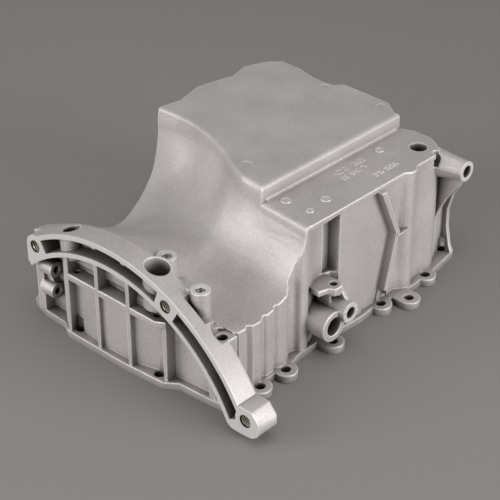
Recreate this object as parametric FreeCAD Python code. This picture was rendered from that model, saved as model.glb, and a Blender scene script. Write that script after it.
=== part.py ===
"""Engine oil pan, one pressure die casting in aluminium.

It stands as it is photographed: the block face (rail) down on z = 0, the sump
bottom up, the gearbox face on y = 0 looking at -Y, x = 0 under the crankshaft.
All sizes are millimetres.
"""
import math
import os

import FreeCAD
import Part

V = FreeCAD.Vector

# walls and main heights
WALL = 4.5
RAIL_T = 7.0
TOP_Z = 131.0
LEDGE_Z = 117.5
STEP_X = 54.0
FOOT_R = 2.5
FOOT_Y = (119.0, 282.0)
EDGE_R = 3.5
EDGE_DEG = (31.5, 60.0, 90.0)
SOFT_TURN = 0.9
FLANGE_T = 20.0
FLOOR_START_Y = 14.0
REAR_Y = 330.0
REACH = 400.0
SMOOTH_SIDES = 14

# gearbox face: two arc bands about the crankshaft
CRANK_Z = -52.6
ARC_IN = 138.4
BAND_T = 4.0
SLOT_W = 11.3
SLOT_IN = ARC_IN + BAND_T
SLOT_OUT = SLOT_IN + SLOT_W
ARC_OUT = SLOT_OUT + BAND_T
SLOT_DEPTH = 16.0
FACE_LEFT_DEG = -41.0
FACE_RIGHT_DEG = 64.0
FACE_LEFT_X = -94.3
SLOT_A = (-30.3, 21.0)
SLOT_B = (29.3, 63.0)
NUB_X = (-15.4, 17.3)
NUB_R = 2.0
FLANGE_HOLES = ((-84.4, 72.0), (62.8, 81.7), (142.7, 18.4))
M12_BORE_R = 5.4
M12_BORE_DEEP = 24.0
M12_BOSS_R = 9.8
END_BOSS = ((120.9, 14.5), (125.5, 7.2), (129, 5.2), (138.7, 5.1), (149.2, 6.0), (155.6, 10.5), (155.6, 20.5),
            (148.5, 28.6), (136.2, 28.8))
END_BOSS_TURN = 5.0

# bolt holes of the rail
BOLT_R = 4.3
LUG_R = 9.5
EAR_ROOT = 15.0
SIDE_LUGS = ((111.7, 50.0), (111.7, 79.4), (113.7, 133.1), (108.2, 201.0), (120.0, 223.6), (108.2, 261.0))
LEFT_LUG_X = -112.0
LEFT_PITCH = 105.0
REAR_BOLT_Y = 303.5
REAR_PITCH = 93.0
LEFT_LUGS = [(LEFT_LUG_X, 46.0 + LEFT_PITCH * i) for i in range(3)]
REAR_BOLTS = [(REAR_PITCH * i, REAR_BOLT_Y) for i in (-1, 0, 1)]
FRONT_BOLTS = ((-44.8, 9.0), (44.8, 9.0))

# floor and sweep: distance along y and height, at seven places across the pan
SWEEP = (
    (-112.0, ((14, 70), (30, 68.5), (44, 63.5), (58, 58.5), (72, 51.5), (86, 42), (99, 35),
              (112, 35), (126, 43), (138, 53.5), (148, 69), (153.3, 88), (155.4, 108), (156.2, 134))),
    (-82.0, ((14, 83), (28, 79), (42, 72.5), (56, 65), (69, 58), (82, 52.5), (95, 50),
             (108, 50.5), (121, 56), (133, 65), (144, 78), (151.3, 95), (156, 113), (158, 134))),
    (-60.0, ((14, 92), (27, 88), (40, 80.5), (53, 73.5), (66, 68), (79, 64), (92, 62.5),
             (105, 63), (117, 66.5), (129, 73.5), (141, 85), (149.5, 99), (154.3, 115), (156, 134))),
    (-35.0, ((14, 98.5), (26, 95), (38, 88.5), (50, 81.5), (62, 75.5), (74, 71.5), (86, 69.8),
             (98, 70.5), (110, 74), (122, 81), (133.5, 92), (142, 105.5), (147, 119), (149.3, 134))),
    (-10.0, ((14, 102), (26, 99.5), (38, 94), (50, 87.5), (62, 82), (74, 78), (85, 76),
             (96, 76.8), (106.5, 80.3), (117, 87.5), (126.5, 98), (132.7, 109), (136.7, 120), (138.6, 134))),
    (15.0, ((14, 100), (26, 97), (37, 91), (48, 84.5), (59, 79), (69, 76), (79, 75),
            (88.5, 76), (97.5, 80), (106, 87.5), (113, 97), (118.5, 107.5), (122.3, 119), (124.8, 134))),
    (30.0, ((14, 95), (24, 90), (34, 83.5), (44, 77), (54, 72.5), (64, 70), (74, 69.4),
            (83, 71), (92, 75.5), (100, 82), (107, 91.5), (112.5, 102.5), (116.3, 115), (118.6, 134))),
    (54.0, ((14, 80), (24, 75), (34, 70.2), (44, 67), (54, 66), (64, 65.8), (73, 66.3),
            (82, 68.2), (90, 72), (97, 78), (103.5, 86.3), (109, 97), (113.1, 110), (115.4, 134))),
    (112.0, ((14, 62), (24, 62), (34, 62.5), (44, 63), (53, 62.6), (62, 63.1), (70.5, 64.4),
             (78.5, 66.6), (86, 70), (92.5, 75.5), (98.5, 84), (103.7, 95), (107.2, 108), (109.4, 134))),
)

# outside of the walls in plan, from the front left corner, anticlockwise
FRONT_WALL = ((-104.5, 16), (-97, 11.4), (-92.4, 11.4), (-91.6, 17.5), (-61.5, 17.5), (-60.5, 8.5),
              (-50, 9.4), (-32, 7), (-13, 5.2), (13, 6.0), (24, 7.2), (41, 12.1), (58, 16.0),
              (88, 18.2), (104.5, 20.5))
FLUTES = ((104.5, 30), (106.8, 32), (106.8, 39.5), (104.3, 42), (108.2, 46), (108.2, 55), (104.3, 60.5),
          (106.8, 63.5), (106.6, 70.5), (103.6, 73.5), (106.4, 77.5), (106.4, 86), (103.0, 91.5),
          (99.4, 94), (99.4, 102), (104.6, 105))
DEEP_WALL = ((104.8, 109.5), (104.4, 113), (101.2, 116), (99.6, 122), (96.6, 128), (95.8, 136),
             (99.0, 145), (104.2, 149.5), (104.4, 180), (102.8, 182), (102.8, 224), (105.8, 228),
             (109.4, 233), (109.4, 238.5), (105.6, 244), (103.6, 248), (102.4, 255), (104.0, 272),
             (101.5, 279.2))
LEDGE_LID = ((52, 125), (104.9, 109.5), (105.2, 262), (104.8, 272), (101.5, 279.2), (84, 288), (52, 280))

# what the core leaves: the same walls without their flutes
CORE = ((-103.0, 17.5), (-61, 17.5), (-50, 10), (-13, 6), (24, 8), (58, 17), (104.5, 20.5), (104.0, 90),
        (95.5, 96), (95.5, 146), (103.2, 152), (102.8, 272), (93.8, 284), (54, 287), (33.6, 291),
        (-62, 290), (-84, 293), (-98, 286), (-99.5, 262), (-99.5, 182), (-102.6, 155), (-102.6, 60))
REAR_WALL = ((93.8, 284.6), (84.3, 289.9), (66.8, 290.9), (58.4, 287.8), (49, 284), (33.6, 295.5),
             (-17, 298), (-22, 291.2), (-31, 289.2), (-47.4, 290.7), (-66, 296), (-88.3, 297))
LEFT_WALL = ((-98, 287), (-105.4, 266.7), (-99.7, 245), (-105, 222), (-107, 207.7), (-99.2, 180),
             (-102.8, 158), (-104.5, 140), (-103.4, 98))

# outside of the rail in plan
RAIL = ((-106, 13), (-88, 7.5), (-62.4, 6.2), (-51.4, 0), (12.0, 0), (54.5, 2.9),
        (64.5, 10.6), (93.7, 12.4), (108.3, 14), (109.0, 30), (109.0, 92), (105.8, 101), (105.8, 128),
        (108.8, 174), (107.8, 190), (110.2, 218), (111.0, 240), (110, 268), (108, 278), (103.2, 308),
        (98, 313), (60, 313),
        (0, 313), (-60, 313), (-98, 313), (-106, 306), (-111, 268), (-112.4, 208), (-109, 156),
        (-110, 100), (-110, 20))

# front wall below the arcs: shelf, upright ribs, left pocket
SHELF_Z = (56.0, 61.5)
SHELF_X = (-51.0, 56.2)
SHELF_CORNER = 7.0
FRONT_Y = 1.6
RIB_T = 3.6
FRONT_RIBS = (-50.0, -15.0, 20.0)
FRONT_PAD = 7.2
END_RIB_X = 54.4
END_RIB_Y = 6.2
RIB_FOOT = 4.0
GRID_BACK = 20.0
FRONT_POSTS = ((96.5, 99.8, 14.0, 48), (-94.6, -86.0, 7.5, 60), (-61, -51.5, 8.0, 76))
BACK_PLATE_Y = (17.0, 22.5)
BEAD_Z = 71.0
BEAD_R = 8.0
POCKET_BOSS_Z = (50.0, 30.0)
POCKET_BOSS_R = 6.8
POCKET_BOSS_Y = 10.8
POCKET_BOSS_END = -72.8
POCKET_WEB = ((-92, 43), (-92, 30), (-74, 26), (-74, 33), (-80, 40))

# on the arc roof
TUBE_1 = (39.9, 15.3, 9.9, 11.4, 66.0, 99.0)
TUBE_2 = (-52.7, 12.2, 7.0, 9.4, 72.0, 96.0)
BOSS_TOP_Z = 93.0
BOSS_R = 7.8
BOSS_BORE_R = 3.4
BOSS_DEEP = 38.0
TAPPED_BOSSES = ((25.9, 38.3, 20.0), (77.7, 22.2, 31.0))
SPOT = (101.2, 20.2, 62.5, 8.8)
ROOF_CUT_X = (71.0, 93.0)
ROOF_CUT_Y = 11.0
ROOF_CUT_Z = 72.5
ROOF_WALL_T = 3.0
ROOF_WALL_DEG = 49.0

# right side: brackets, port, zigzag rib, rear arm
RING_LOW = (138.0, 37.5, 127.0, 8.6, 5.0)
PORT = (124.0, 29.0, 122.0, 13.0, 8.0)
PLATE_Z = (55.0, 59.5)
PLATE_HOLE = (111.5, 134.5, 6.5, 3.3)
PLATE = ((90, 119), (111, 117), (113.5, 126), (118.5, 129), (118.5, 137), (114, 141), (101, 140), (90, 140))
ZIGZAG = ((193.0, 114), (214.0, 69.5), (198.6, 5), (203.0, 5), (218.6, 69.5), (198.0, 114))
ZIG_X = (100.0, 110.5)
GUSSET = ((100, 215), (111, 215), (101, 231))
GUSSET_Z = (66.0, 69.0)
ARM_RING = (285.5, 102.8, 125.5, 8.7, 5.2)
HORN = (97.0, 279.0, 104.5, 12.0)
WEB_1 = ((88, 116), (112, 110), (121.5, 99), (121.8, 92), (114, 80), (107.4, 70), (100, 54.5),
         (96, 40), (94.5, 24), (94.5, 4), (84, 4))
WEB_2 = ((84, 104), (104, 92), (109.5, 78), (101, 64), (97, 48), (97.4, 32), (101, 14), (105, 4), (84, 4))
WEB_1_Y = (283.4, 287.6)
WEB_2_Y = (303.0, 306.8)
POST_X = 84.0
POST_Z = 2.0
REAR_POSTS = ((92.5, 281, 306, 100), (96, 281, 290, 110))
LEDGE_HOLES = ((86.6, 269.8, 7.4, 14.0), (103.2, 272.6, 3.7, 12.0))


def rounded(points, radius):
    """Closed wire through the points on z = 0; corners that turn sharply get an arc."""
    pts = [V(p[0], p[1], 0) for p in points]
    count = len(pts)
    marks = []
    for i in range(count):
        here = pts[i]
        back = pts[i - 1] - here
        ahead = pts[(i + 1) % count] - here
        room = 0.42 * min(back.Length, ahead.Length)
        back.normalize()
        ahead.normalize()
        turn = back.getAngle(ahead)
        if radius == 0 or turn > math.pi - SOFT_TURN:
            marks.append((here, None, here))
            continue
        leg = min(room, radius / math.tan(turn / 2))
        bend = leg * math.tan(turn / 2)
        inward = back + ahead
        inward.normalize()
        middle = here + inward * (bend / math.sin(turn / 2) - bend)
        marks.append((here + back * leg, middle, here + ahead * leg))
    edges = []
    for i in range(count):
        start, middle, end = marks[i]
        if middle is not None:
            edges.append(Part.Arc(start, middle, end).toShape())
        follow = marks[(i + 1) % count][0]
        if (follow - end).Length > 1e-6:
            edges.append(Part.makeLine(end, follow))
    return Part.Wire(edges)


def prism(wire, z0, z1):
    """Solid of the wire's face between two heights."""
    face = Part.Face(wire)
    face.translate(V(0, 0, z0))
    return face.extrude(V(0, 0, z1 - z0))


def front_prism(points, radius, y0, y1):
    """Solid of an outline given in x and z, from depth y0 to y1."""
    wire = rounded(points, radius)
    face = Part.Face(wire)
    face.rotate(V(0, 0, 0), V(1, 0, 0), 90)
    face.translate(V(0, y0, 0))
    return face.extrude(V(0, y1 - y0, 0))


def box(x0, x1, y0, y1, z0, z1):
    return Part.makeBox(x1 - x0, y1 - y0, z1 - z0, V(x0, y0, z0))


def cyl_z(x, y, r, z0, z1):
    return Part.makeCylinder(r, z1 - z0, V(x, y, z0), V(0, 0, 1))


def cyl_y(x, z, r, y0, y1):
    return Part.makeCylinder(r, y1 - y0, V(x, y0, z), V(0, 1, 0))


def cyl_x(y, z, r, x0, x1):
    return Part.makeCylinder(r, x1 - x0, V(x0, y, z), V(1, 0, 0))


def ring_of(count, radius, turn=0.0):
    """Corners of a regular outline with that many sides, its flats at the radius."""
    reach = radius / math.cos(math.pi / count)
    turns = [turn + 2 * math.pi * i / count for i in range(count)]
    return [(reach * math.cos(t), reach * math.sin(t)) for t in turns]


def bar_x(y, z, r, count, x0, x1):
    """Blunt bar along X with that many sides."""
    pts = [V(x0, y + a, z + b) for a, b in ring_of(count, r, math.pi / count)]
    return Part.Face(Part.makePolygon(pts + pts[:1])).extrude(V(x1 - x0, 0, 0))


def polar(radius, deg):
    """Point x, z on a circle about the crankshaft, the angle from straight up toward +X."""
    a = math.radians(deg)
    return (radius * math.sin(a), CRANK_Z + radius * math.cos(a))


def on_arc(x, radius):
    """Height at x of a circle about the crankshaft."""
    return CRANK_Z + math.sqrt(radius * radius - x * x)


def arc_band(r_in, r_out, deg0, deg1, y0, y1):
    """Part of a ring about the crankshaft, from depth y0 to y1."""
    mid = (deg0 + deg1) / 2
    at = [V(polar(r, d)[0], y0, polar(r, d)[1])
          for r, d in ((r_out, deg0), (r_out, mid), (r_out, deg1), (r_in, deg1), (r_in, mid), (r_in, deg0))]
    wire = Part.Wire([
        Part.Arc(at[0], at[1], at[2]).toShape(),
        Part.makeLine(at[2], at[3]),
        Part.Arc(at[3], at[4], at[5]).toShape(),
        Part.makeLine(at[5], at[0]),
    ])
    return Part.Face(wire).extrude(V(0, y1 - y0, 0))


def shifted(run, gap):
    """The run of y, z points moved by gap to its material side."""
    moved = []
    last = len(run) - 1
    for i in range(len(run)):
        a = run[max(i - 1, 0)]
        b = run[min(i + 1, last)]
        dy = b[0] - a[0]
        dz = b[1] - a[1]
        size = math.hypot(dy, dz)
        moved.append((run[i][0] + gap * dz / size, run[i][1] - gap * dy / size))
    return moved


def rising(run, gap, rim):
    """How many points of a moved station lie clear below the rounded edge."""
    return len([p for p in shifted(run, gap) if p[1] < rim - 3])


def station(x, run, gap, top, count):
    """Upper line of the pan's body at one x: floor, sweep and rounded edge, as far as the flat top."""
    run = shifted(run, gap)
    rim = top - EDGE_R
    kept = run[:count]
    last = kept[-1]
    before, after = (last, run[count]) if count < len(run) else (run[-2], last)
    share = (rim - last[1]) / (after[1] - before[1])
    edge_y = last[0] + share * (after[0] - before[0])
    kept[0] = (FLOOR_START_Y, kept[0][1])
    if gap > 0:
        kept = kept[0:4:2] + kept[4:]
    pts = [V(x, p[0], p[1]) for p in kept + [(edge_y, rim)]]
    for deg in EDGE_DEG:
        turn = math.radians(deg)
        pts.append(V(x, edge_y + EDGE_R * (1 - math.cos(turn)), rim + EDGE_R * math.sin(turn)))
    return pts


def flat(points):
    return Part.Face(Part.makePolygon(list(points) + [points[0]]))


def closed(faces):
    """Solid inside flat faces that meet at their edges."""
    shell = Part.Shell(faces)
    shell.sewShape()
    solid = Part.Solid(shell)
    if solid.Volume < 0:
        solid.reverse()
    return solid


def swept_block(lines, top):
    """Solid under neighbouring upper lines: plain facets between them, closed by flat sides."""
    faces = []
    for left, right in zip(lines, lines[1:]):
        for i in range(len(left) - 1):
            faces.append(flat((left[i], right[i], right[i + 1])))
            faces.append(flat((left[i], right[i + 1], left[i + 1])))
    x0 = lines[0][0].x
    x1 = lines[-1][0].x
    base = -1
    faces.append(flat([line[-1] for line in lines] + [V(x1, REAR_Y, top), V(x0, REAR_Y, top)]))
    faces.append(flat([line[0] for line in lines] + [V(x1, FLOOR_START_Y, base), V(x0, FLOOR_START_Y, base)]))
    faces.append(flat((V(x0, FLOOR_START_Y, base), V(x1, FLOOR_START_Y, base), V(x1, REAR_Y, base),
                       V(x0, REAR_Y, base))))
    faces.append(flat((V(x0, REAR_Y, base), V(x1, REAR_Y, base), V(x1, REAR_Y, top), V(x0, REAR_Y, top))))
    for x, line in ((x0, lines[0]), (x1, lines[-1])):
        faces.append(flat(line + [V(x, REAR_Y, top), V(x, REAR_Y, base), V(x, FLOOR_START_Y, base)]))
    return closed(faces)


def sweep_body(gap):
    """Everything under the floor and behind the sweep: the deep part, then the lower ledge part."""
    solids = []
    for low, high, top in ((-REACH, STEP_X, TOP_Z), (STEP_X, REACH, LEDGE_Z)):
        rows = [row for row in SWEEP if low <= row[0] <= high]
        count = min(rising(run, gap, top - gap - EDGE_R) for x, run in rows)
        solids.append(swept_block([station(x, run, gap, top - gap, count) for x, run in rows], top - gap))
    return solids


def skin_body():
    """Outer block of the pan behind the gearbox face."""
    plan = FRONT_WALL + FLUTES + DEEP_WALL + REAR_WALL + LEFT_WALL
    walls = prism(rounded(plan, 6.0), 0, TOP_Z)
    lid = prism(rounded(LEDGE_LID, 5.0), LEDGE_Z - WALL, LEDGE_Z)
    swept = sweep_body(0.0)
    body = walls.fuse(lid).common(swept[0].fuse(swept[1]))
    corner = box(STEP_X - EDGE_R, STEP_X + EDGE_R, 0, REACH, TOP_Z - EDGE_R, TOP_Z + EDGE_R)
    corner = corner.cut(cyl_y(STEP_X - EDGE_R, TOP_Z - EDGE_R, EDGE_R, 0, REACH))
    foot = box(STEP_X - 1, STEP_X + FOOT_R, FOOT_Y[0], FOOT_Y[1], LEDGE_Z - 1, LEDGE_Z + FOOT_R)
    foot = foot.cut(cyl_y(STEP_X + FOOT_R, LEDGE_Z + FOOT_R, FOOT_R, 0, REACH))
    return body.cut(corner).fuse(foot)


def cavity():
    """Inside of the pan, open at the rail."""
    inner = Part.makePolygon([V(p[0], p[1], 0) for p in CORE + CORE[:1]])
    inner = Part.Face(inner).makeOffset2D(-WALL, 2)
    inner = Part.Face(inner.Wires[0])
    inner.translate(V(0, 0, -1))
    block = inner.extrude(V(0, 0, TOP_Z - WALL + 1))
    low = block.common(box(-REACH, REACH, 0, FLOOR_START_Y + WALL, -1, SHELF_Z[0] - WALL))
    deep, side = sweep_body(WALL)
    deep = deep.cut(box(STEP_X - WALL, REACH, 0, REACH, LEDGE_Z - WALL, REACH))
    deep = block.common(deep.fuse(side))
    deep = deep.cut(box(-REACH, REACH, 0, BACK_PLATE_Y[1], SHELF_Z[0] - WALL, REACH))
    return deep.fuse(low)


def flange():
    """Gearbox face: both arc bands, the end bosses and what closes the slots behind."""
    band = arc_band(ARC_IN, ARC_OUT, FACE_LEFT_DEG, FACE_RIGHT_DEG, 0, FLANGE_T)
    band = band.common(box(FACE_LEFT_X, 200, -1, 50, -1, 200))
    end = front_prism(END_BOSS, END_BOSS_TURN, 0, FLANGE_T)
    plate = Part.makeCylinder(ARC_IN + 2, BACK_PLATE_Y[1] - BACK_PLATE_Y[0],
                              V(0, BACK_PLATE_Y[0], CRANK_Z), V(0, 1, 0))
    plate = plate.common(box(-104, 104, 0, 60, SHELF_Z[0] - WALL, 200))
    solid = band.fuse(end).fuse(plate)
    slots = [arc_band(SLOT_IN, SLOT_OUT, d[0], d[1], -1, SLOT_DEPTH) for d in (SLOT_A, SLOT_B)]
    bosses = [cyl_y(x, z, M12_BOSS_R, 0, FLANGE_T) for x, z in FLANGE_HOLES]
    solid = solid.cut(slots[0]).cut(slots[1]).multiFuse(bosses)
    roof = box(ROOF_CUT_X[0], ROOF_CUT_X[1], ROOF_CUT_Y, 60, ROOF_CUT_Z, ARC_OUT)
    shelter = cyl_y(FLANGE_HOLES[1][0], FLANGE_HOLES[1][1], M12_BOSS_R, 0, 60)
    wall_y = ROOF_CUT_Y - ROOF_WALL_T
    wall = arc_band(SLOT_IN - 1, SLOT_OUT + 1, SLOT_B[0] - 2, ROOF_WALL_DEG, wall_y, FLANGE_T)
    return solid.fuse(wall).cut(roof.cut(shelter))


def slot_inside():
    """What shows inside the slots: tube walls and the two nubs under the outer band."""
    reach = arc_band(SLOT_IN - 1, SLOT_OUT + 1, SLOT_A[0], SLOT_A[1], 0.8, SLOT_DEPTH + 1)
    tubes = [cyl_z(t[0], t[1], t[3], 60, 120).common(reach) for t in (TUBE_1, TUBE_2)]
    nubs = []
    for x in NUB_X:
        z = on_arc(x, SLOT_OUT)
        nubs.append(box(x - NUB_R, x + NUB_R, 0.8, SLOT_DEPTH + 1, z - NUB_R, z + NUB_R / 2))
    return tubes + nubs


def front_grid():
    """Shelf, upright ribs, bead and bosses on the wall below the arcs."""
    left, right = SHELF_X
    shelf = ((left, FRONT_Y), (right - SHELF_CORNER, FRONT_Y), (right, END_RIB_Y), (right, GRID_BACK),
             (left, GRID_BACK))
    made = [prism(rounded(shelf, 0), SHELF_Z[0], SHELF_Z[1])]
    for x in FRONT_RIBS:
        top = on_arc(x, ARC_IN + BAND_T / 2)
        made.append(box(x - RIB_T / 2, x + RIB_T / 2, FRONT_Y, GRID_BACK, RIB_FOOT, top))
    made.append(box(END_RIB_X - RIB_T / 2, END_RIB_X + RIB_T / 2, END_RIB_Y, GRID_BACK, RIB_FOOT, SHELF_Z[1]))
    for x0, x1, y0, z1 in FRONT_POSTS:
        made.append(box(x0, x1, y0, GRID_BACK, RIB_FOOT, z1))
    made.append(bar_x(BACK_PLATE_Y[0] + 2, BEAD_Z, BEAD_R, 8, FRONT_RIBS[0], END_RIB_X))
    made.append(bar_x(BACK_PLATE_Y[0] + 1, SHELF_Z[1] + 2, BEAD_R, 8, FRONT_RIBS[2], END_RIB_X))
    for x, y in FRONT_BOLTS:
        made.append(box(x - FRONT_PAD, x + FRONT_PAD, FRONT_Y, GRID_BACK, 0, RAIL_T))
    for z in POCKET_BOSS_Z:
        made.append(bar_x(POCKET_BOSS_Y, z, POCKET_BOSS_R, SMOOTH_SIDES, -88, POCKET_BOSS_END))
    made.append(front_prism(POCKET_WEB, 0, POCKET_BOSS_Y, GRID_BACK))
    return made


def right_side():
    """Bosses, brackets and ribs standing on the right wall."""
    made = []
    y, z, x, r, bore = RING_LOW
    made.append(cyl_x(y, z, r, 100, x))
    made.append(front_prism(((98, 58), (110, 58), (x - 2, z + 4), (x - 2, z - 4), (98, z - 12)), 0,
                            y + 1.0, y + 4.5))
    y, z, x, r, bore = PORT
    made.append(cyl_x(y, z, r, 96, x))
    made.append(bar_x(y + 9, z + 9.5, 4.4, 8, 100, x + 1))
    made.append(prism(rounded(PLATE, 0), PLATE_Z[0], PLATE_Z[1]))
    x, y, r, bore = PLATE_HOLE
    pad = [V(x + a, y + b, 0) for a, b in ring_of(8, r)]
    made.append(prism(Part.makePolygon(pad + pad[:1]), PLATE_Z[0] - 3, PLATE_Z[1]))
    made.append(box(99, 112.5, 129.0, 132.4, 30, PLATE_Z[0] + 1))
    zig = Part.Face(Part.makePolygon([V(ZIG_X[0], p[0], p[1]) for p in ZIGZAG + ZIGZAG[:1]]))
    made.append(zig.extrude(V(ZIG_X[1] - ZIG_X[0], 0, 0)))
    made.append(prism(rounded(GUSSET, 0), GUSSET_Z[0], GUSSET_Z[1]))
    return made


def rear_arm():
    """Ring boss at the rear right corner with its horn and the two swept webs."""
    y, z, x, r, bore = ARM_RING
    made = [cyl_x(y, z, r, x - 10, x)]
    at, from_y, from_z, root_r = HORN
    ends = []
    for px, py, pz, pr in ((at, from_y, from_z, root_r), (x - 3, y, z, r - 0.4)):
        ends.append([V(px, py + a, pz + b) for a, b in ring_of(SMOOTH_SIDES, pr)])
    sides = [flat((ends[0][i - 1], ends[0][i], ends[1][i], ends[1][i - 1])) for i in range(SMOOTH_SIDES)]
    made.append(closed(sides + [flat(end) for end in ends]))
    for outline, span in ((WEB_1, WEB_1_Y), (WEB_2, WEB_2_Y)):
        made.append(front_prism(outline, 12.0, span[0], span[1]))
    for x1, y0, y1, z1 in REAR_POSTS:
        made.append(box(POST_X, x1, y0, y1, POST_Z, z1))
    return made


def ear(x, y, toward):
    """One ear of the rail: a blunt outline about its hole, reaching back to the wall."""
    nose = ring_of(SMOOTH_SIDES, LUG_R, -math.pi * (SMOOTH_SIDES / 2 - 1) / SMOOTH_SIDES)[:SMOOTH_SIDES // 2]
    out = nose + [(-EAR_ROOT, LUG_R), (-EAR_ROOT, -LUG_R)]
    made = prism(Part.makePolygon([V(p[0], p[1], 0) for p in out + out[:1]]), 0, RAIL_T)
    made.rotate(V(0, 0, 0), V(0, 0, 1), toward)
    made.translate(V(x, y, 0))
    return made


def lugs():
    """Ears of the rail: right side, left side and rear corners."""
    made = [ear(x, y, 0) for x, y in SIDE_LUGS]
    made += [ear(x, y, 180) for x, y in LEFT_LUGS]
    return made


def holes():
    """Every drilled, tapped or cast hole."""
    cut = []
    for x, y in list(SIDE_LUGS) + LEFT_LUGS + REAR_BOLTS:
        cut.append(cyl_z(x, y, BOLT_R, -1, RAIL_T + 12))
    for x, y in FRONT_BOLTS:
        cut.append(cyl_z(x, y, BOLT_R, -1, RAIL_T + 12))
    for x, z in FLANGE_HOLES:
        cut.append(cyl_y(x, z, M12_BORE_R, -1, M12_BORE_DEEP))
    for x, y, up in TAPPED_BOSSES:
        cut.append(cyl_z(x, y, BOSS_BORE_R, BOSS_TOP_Z - 20, BOSS_TOP_Z + 1))
    for tube in (TUBE_1, TUBE_2):
        cut.append(cyl_z(tube[0], tube[1], tube[2], tube[4] + 5, 125))
    cut.append(cyl_z(SPOT[0], SPOT[1], BOLT_R, -1, SPOT[2] + 30))
    cut.append(cyl_z(SPOT[0], SPOT[1], SPOT[3], SPOT[2], SPOT[2] + 30))
    y, z, x, r, bore = RING_LOW
    cut.append(cyl_x(y, z, bore, x - 18, x + 1))
    y, z, x, r, bore = PORT
    cut.append(cyl_x(y, z, bore, x - 16, x + 1))
    cut.append(cyl_z(PLATE_HOLE[0], PLATE_HOLE[1], PLATE_HOLE[3], PLATE_Z[0] - 9, PLATE_Z[1] + 1))
    y, z, x, r, bore = ARM_RING
    cut.append(cyl_x(y, z, bore, x - 20, x + 1))
    for x, y, radius, deep in LEDGE_HOLES:
        cut.append(cyl_z(x, y, radius, LEDGE_Z - deep, LEDGE_Z + 1))
    return cut


def main():
    os.makedirs("parts", exist_ok=True)
    body = skin_body()
    hollow = cavity()
    lower_front = prism(rounded(FRONT_WALL + ((104.5, 40), (-104.5, 40)), 3.0), 0, SHELF_Z[1] - 2)
    base = body.multiFuse([prism(rounded(RAIL, 4.0), 0, RAIL_T), lower_front, flange()] + front_grid()
                          + right_side() + rear_arm() + lugs())
    part = base.cut(hollow)
    inside = [cyl_z(x, y, BOSS_R, BOSS_TOP_Z - up, BOSS_TOP_Z) for x, y, up in TAPPED_BOSSES]
    foot_z = BOSS_TOP_Z - BOSS_DEEP
    inside += [box(x - BOSS_R, x + BOSS_R, y - BOSS_R, y + BOSS_R, foot_z, BOSS_TOP_Z - up + 1)
               for x, y, up in TAPPED_BOSSES]
    roof = cyl_y(0, CRANK_Z, ARC_OUT, -5, 60)
    inside += [cyl_z(t[0], t[1], t[3], t[4], 110).common(roof) for t in (TUBE_1, TUBE_2)]
    x, y, z, r = SPOT
    inside += [box(x - r, x + r - 2, y - r + 3, y + r, 0, z)]
    inside += [box(x - r - WALL, x + r + WALL, y - r - WALL, y + r + WALL, LEDGE_Z - d - WALL, LEDGE_Z - 1)
               for x, y, r, d in LEDGE_HOLES[:1]]
    reach = M12_BORE_R + WALL
    inside += [box(x - reach, x + reach, SLOT_DEPTH + 1, M12_BORE_DEEP + WALL, z - reach, z + reach)
               for x, z in FLANGE_HOLES[:2]]
    part = part.multiFuse(inside + slot_inside())
    tools = holes()
    part = part.cut(tools[0].multiFuse(tools[1:]))
    part = part.removeSplitter()
    part.exportStep("parts/oil_pan.step")


main()
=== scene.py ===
import math

import bmesh
import bpy
import numpy as np
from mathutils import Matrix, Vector


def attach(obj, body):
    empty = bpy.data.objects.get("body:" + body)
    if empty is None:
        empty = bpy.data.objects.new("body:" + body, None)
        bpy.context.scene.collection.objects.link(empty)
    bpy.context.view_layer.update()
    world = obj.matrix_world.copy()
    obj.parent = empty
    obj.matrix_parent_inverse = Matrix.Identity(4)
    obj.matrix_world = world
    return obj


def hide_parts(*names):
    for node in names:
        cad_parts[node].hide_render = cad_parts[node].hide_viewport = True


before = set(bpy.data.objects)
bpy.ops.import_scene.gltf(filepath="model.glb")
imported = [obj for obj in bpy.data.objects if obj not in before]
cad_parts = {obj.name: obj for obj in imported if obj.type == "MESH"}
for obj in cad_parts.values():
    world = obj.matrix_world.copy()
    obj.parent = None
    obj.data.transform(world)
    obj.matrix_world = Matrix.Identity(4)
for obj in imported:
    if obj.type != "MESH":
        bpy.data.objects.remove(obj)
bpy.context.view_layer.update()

bl_info = {
    "name": "Engine oil pan",
    "version": (1, 0, 0),
    "blender": (4, 5, 0),
    "location": "View3D > Sidebar > Oil pan",
    "description": "Finishes a die cast engine oil pan: cast skin, milled faces, threads and casting marks",
    "category": "Object",
}

MM = 0.001
NODE = "oil_pan"
BODY = "root"

# heights of the sump's bottom, the ledge, the shelf on the front wall, and just over the rail
TOP_Z = 131.0
LEDGE_Z = 117.5
SHELF_Z = 61.5
OVER_RAIL_Z = 7.1

# gearbox face: its inner arc about the crankshaft and the three screw holes (x, z, thread length)
CRANK_Z = -52.6
FACE_IN = 137.4
M12_HOLES = ((-84.4, 72.0, 23.5), (62.8, 81.7, 23.5), (142.7, 18.4, 19.5))
M12_BORE_R = 5.4
# tapped bosses behind the arch (x, y)
M8_HOLES = ((25.9, 38.3), (77.7, 22.2))
M8_BORE_R = 3.4
BOSS_TOP_Z = 93.0
# cut threads: depth of cut, sides, rows a turn, start under the hole's mouth, and how far in from the bore's
# wall the painted groove shade reaches
M12_THREAD = (0.72, 40, 6, 0.3, 0.4)
M8_THREAD = (0.5, 32, 5, 1.3, 0.28)
M8_LENGTH = 17.5
# how far a thread's sleeve sinks into the wall of its bore, and how far it stands out of it
SLEEVE_SUNK = 0.15
SLEEVE_PROUD = 0.03

# cut faces: within NEAR of a milled plane and facing as it does, or inside a tapped bore, as far as its
# pointed end or between two depths under the boss's top
NEAR = 0.02
FACING = 0.99
RING_FACES_X = (127.0, 125.5)
BORE_SLACK = 0.05
M12_POINT = 2
M8_DEPTHS = (0.5, 22)

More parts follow.
